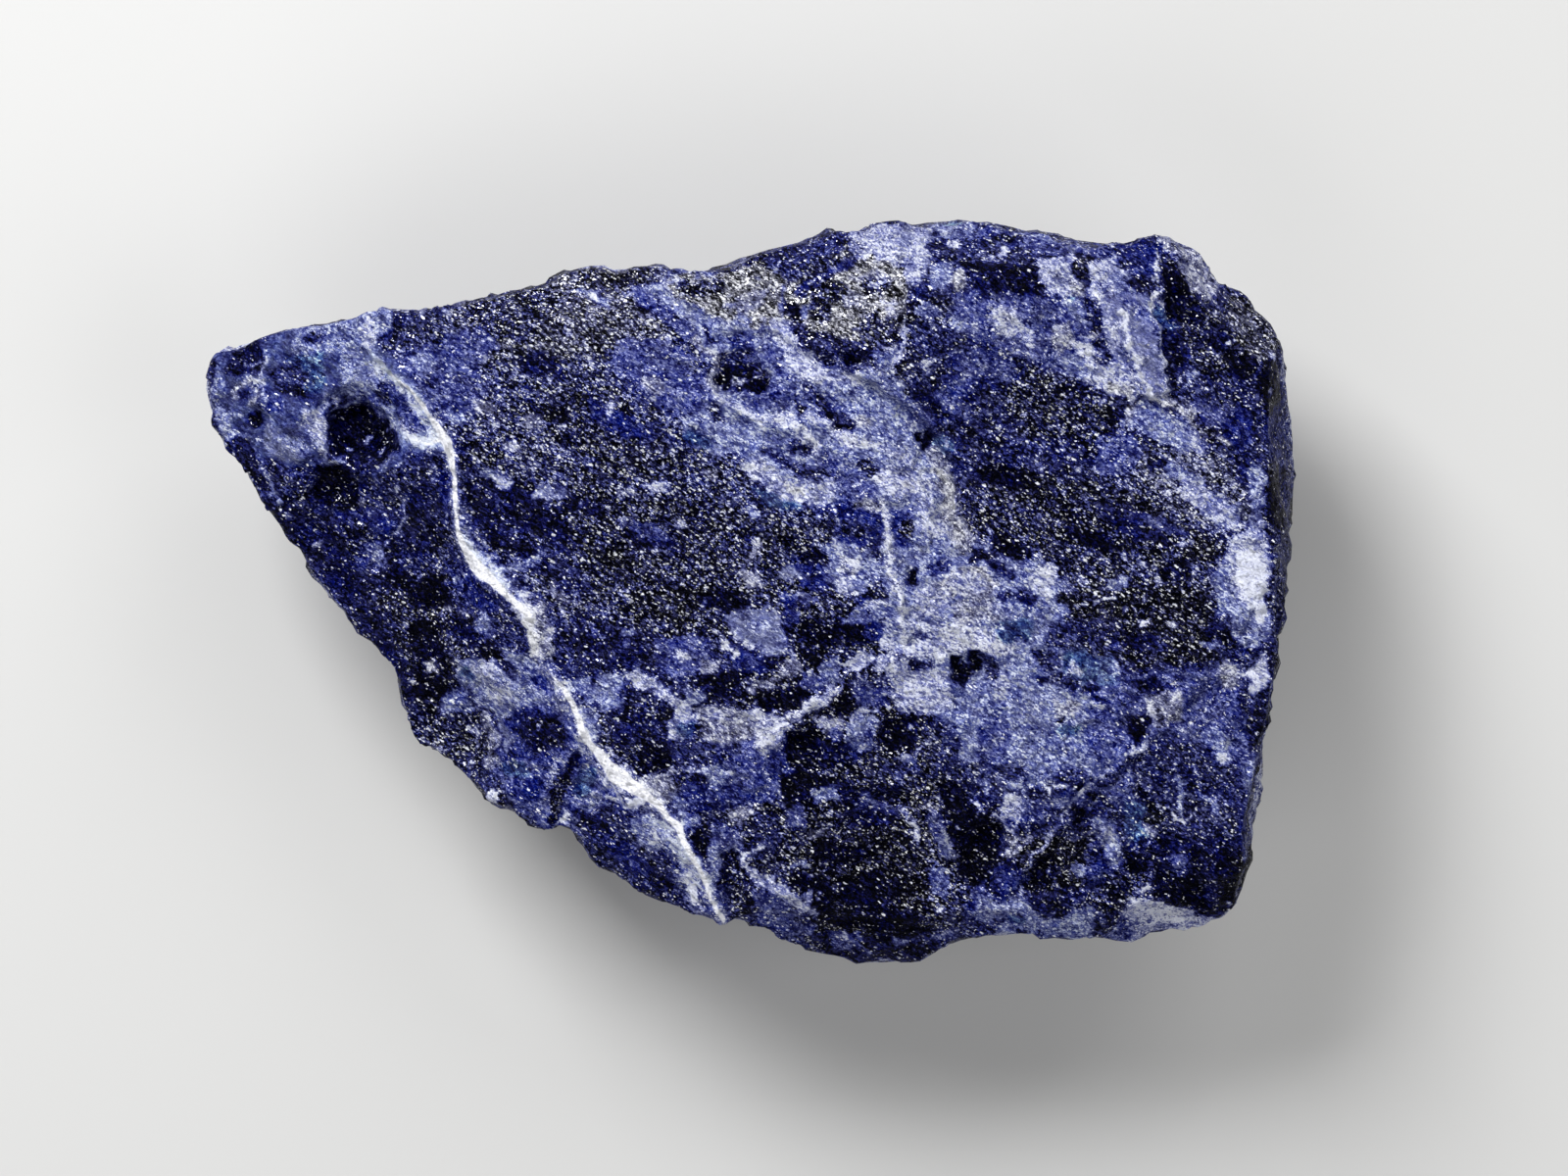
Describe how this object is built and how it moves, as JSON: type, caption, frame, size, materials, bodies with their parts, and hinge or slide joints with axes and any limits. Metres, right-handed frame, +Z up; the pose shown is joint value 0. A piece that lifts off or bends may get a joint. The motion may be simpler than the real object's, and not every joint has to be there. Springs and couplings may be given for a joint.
{
  "type": "rough sodalite",
  "caption": "Rough broken block of blue sodalite with white veins, roughly triangular with a pointed end and a blunt end, lying on a flat spot.",
  "frame": {"origin": "middle of the stone's footprint, on the surface that it rests on", "axes": "+X along the stone from its pointed end to its blunt end, +Y across it, +Z up out of the broad broken face"},
  "size_m": [0.1116, 0.076, 0.0302],
  "materials": {
    "sodalite_stone": "broken stone, granular, half gloss on fresh grains"
  },
  "bodies": {
    "root": {"sodalite": "sodalite_stone"}
  },
  "joints": []
}
